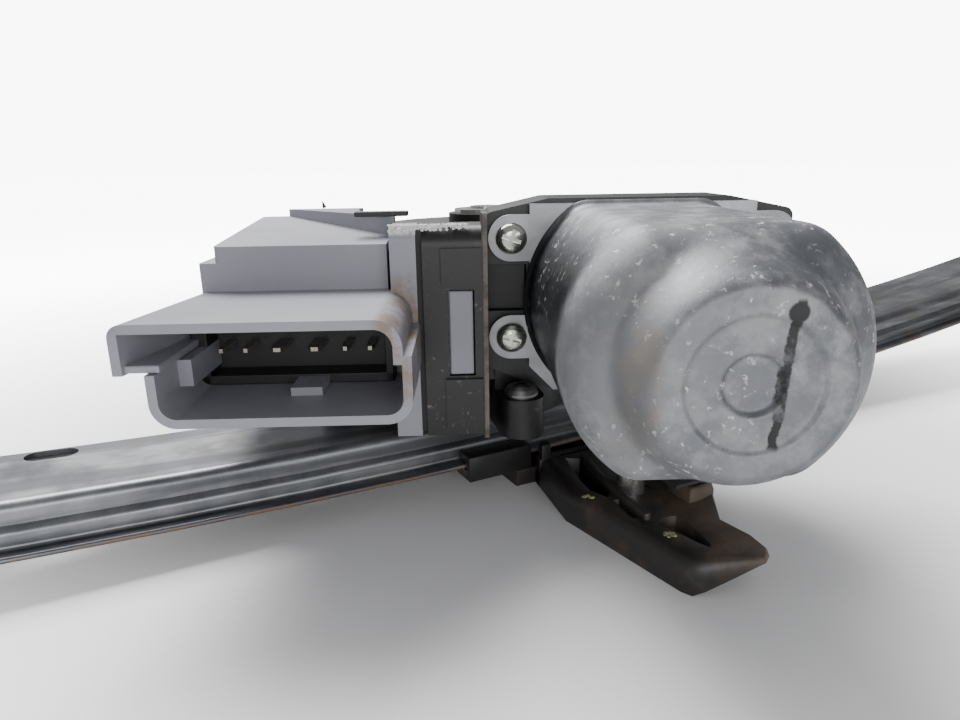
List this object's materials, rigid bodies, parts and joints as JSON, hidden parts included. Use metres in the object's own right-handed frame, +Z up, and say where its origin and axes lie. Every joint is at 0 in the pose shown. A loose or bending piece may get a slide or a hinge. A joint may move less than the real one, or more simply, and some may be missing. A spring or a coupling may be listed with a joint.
{
  "type": "window regulator",
  "caption": "Cable-operated car window regulator: an arched rail with end pulleys, a worm-geared motor with its plug-in control module, and a sliding carrier with a glass clamp.",
  "frame": {"origin": "middle of the underside of the whole regulator's box, on the carrier's flat base", "axes": "+X along the rail from its left end to its right end, +Z up from the carrier's base to the motor, -Y towards the motor's end and the glass clamp"},
  "size_m": [0.503, 0.1388, 0.0704],
  "materials": {
    "galvanised_steel": "galvanised sheet, mottled, with rust along the lower lip",
    "zinc_steel": "dull blotchy zinc plating",
    "bright_steel": "bright plated steel",
    "dark_steel": "plain oiled steel",
    "cable_steel": "greased steel rope",
    "black_plastic": "dusty black glass-filled plastic",
    "dirty_plastic": "black plastic with brown grime",
    "module_plastic": "light lavender-grey plastic",
    "white_plastic": "white low-friction plastic",
    "rubber": "black rubber",
    "bronze": "sintered bronze",
    "copper": null,
    "tinned_brass": "tinned brass",
    "ferrite": null,
    "lamination_steel": "stacked electrical steel",
    "carbon": null,
    "board": "green circuit board"
  },
  "bodies": {
    "rail_and_motor": {"rail": "galvanised_steel", "rail_studs": "bright_steel", "stop_buffers": "rubber", "pulley_axles": "bright_steel", "left_cable": "cable_steel", "right_cable": "cable_steel", "drum_housing": "black_plastic", "housing_rivets": "bright_steel", "gear_housing": "black_plastic", "gear_cover": "black_plastic", "unit_screws": "bright_steel", "wheel_axle": "bright_steel", "axle_clip": "bright_steel", "motor_can": "zinc_steel", "can_screws": "bright_steel", "magnets": "ferrite", "rear_bush": "bronze", "rear_bush_clip": "dark_steel", "front_bush": "bronze", "end_bush": "bronze", "thrust_plug": "white_plastic", "brush_card": "black_plastic", "brushes": "carbon", "brush_springs": "dark_steel", "module_case": "module_plastic", "module_lid": "module_plastic", "module_seal": "rubber", "circuit_board": "board", "relays": "black_plastic", "small_blades": "tinned_brass", "large_blades": "tinned_brass"},
    "armature": {"worm_shaft": "dark_steel", "armature_core": "lamination_steel", "windings": "copper", "commutator": "copper", "ring_magnet": "ferrite"},
    "drum": {"worm_wheel": "white_plastic", "damper": "rubber", "drive_hub": "black_plastic", "cable_drum": "white_plastic", "cable_turns": "cable_steel"},
    "left_pulley": {"left_pulley": "white_plastic"},
    "right_pulley": {"right_pulley": "white_plastic"},
    "carrier": {"carrier": "dirty_plastic", "guide_shoes": "white_plastic", "clamp_jaw": "dirty_plastic", "clamp_pads": "rubber", "clamp_screw": "zinc_steel", "clamp_nut": "zinc_steel", "cable_nipples": "bright_steel", "tension_springs": "dark_steel"}
  },
  "joints": [
    {"name": "armature_spin", "type": "hinge", "parent": "rail_and_motor", "child": "armature", "pos_m": [0.01833, 0.02366, 0.049], "axis": [0.4226, 0.9063, 0], "range_deg": [-40678, 40678]},
    {"name": "drum_spin", "type": "hinge", "parent": "rail_and_motor", "child": "drum", "pos_m": [-0.01076, 0.03723, 0.0267], "axis": [0, 0, 1], "range_deg": [-589.59, 589.59]},
    {"name": "left_pulley_spin", "type": "hinge", "parent": "rail_and_motor", "child": "left_pulley", "pos_m": [-0.22499, 0.03483, 0.01976], "axis": [0.0998, 0, 0.995], "range_deg": [-1055.16, 1055.16]},
    {"name": "right_pulley_spin", "type": "hinge", "parent": "rail_and_motor", "child": "right_pulley", "pos_m": [0.22491, 0.03483, 0.03295], "axis": [-0.158, 0, 0.9874], "range_deg": [-1055.16, 1055.16]},
    {"name": "carrier_travel", "type": "hinge", "parent": "rail_and_motor", "child": "carrier", "pos_m": [-0.05076, 0.03483, 1.75624], "axis": [0, -1, 0], "range_deg": [-5.74, 5.74]}
  ],
  "couplings": [
    {"joint": "drum_spin", "follows": "armature_spin", "ratio": -0.014493},
    {"joint": "left_pulley_spin", "follows": "armature_spin", "ratio": -0.025934},
    {"joint": "right_pulley_spin", "follows": "armature_spin", "ratio": -0.025934},
    {"joint": "carrier_travel", "follows": "armature_spin", "ratio": -0.00014117}
  ]
}
